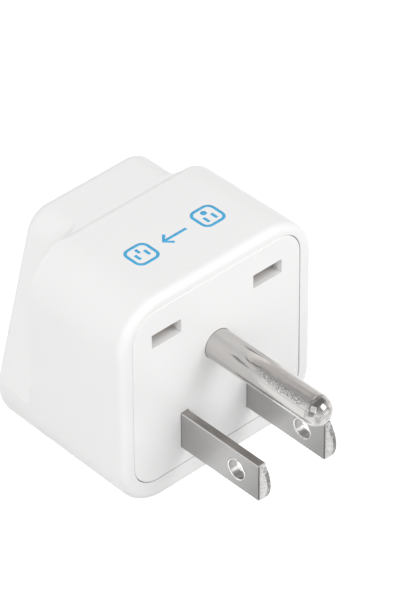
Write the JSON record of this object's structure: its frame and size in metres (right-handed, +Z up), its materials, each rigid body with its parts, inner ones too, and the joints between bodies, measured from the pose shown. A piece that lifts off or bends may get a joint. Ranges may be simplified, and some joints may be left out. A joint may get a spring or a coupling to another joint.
{
  "type": "travel adapter",
  "caption": "Moulded travel adapter: flat and round plug pins on one side, universal socket apertures on a narrower snout on the other.",
  "frame": {"origin": "on the bottom face, midway between the earth pin's tip and the socket face, in the middle of the width", "axes": "+Y from the plug side to the socket side, +Z up towards the earth pin's side, +X across the width"},
  "size_m": [0.0368, 0.0494, 0.036],
  "materials": {
    "housing": "moulded, satin gloss",
    "plate": "moulded, satin gloss",
    "pin_metal": "nickel plated brass",
    "contact_metal": "stamped and bent sheet",
    "rivet_metal": "set rivets"
  },
  "bodies": {
    "root": {"socket_housing": "housing", "plug_plate": "plate", "line_blade": "pin_metal", "neutral_blade": "pin_metal", "earth_pin": "pin_metal", "line_contact": "contact_metal", "neutral_contact": "contact_metal", "earth_contact": "contact_metal", "contact_rivets": "rivet_metal"}
  },
  "joints": []
}
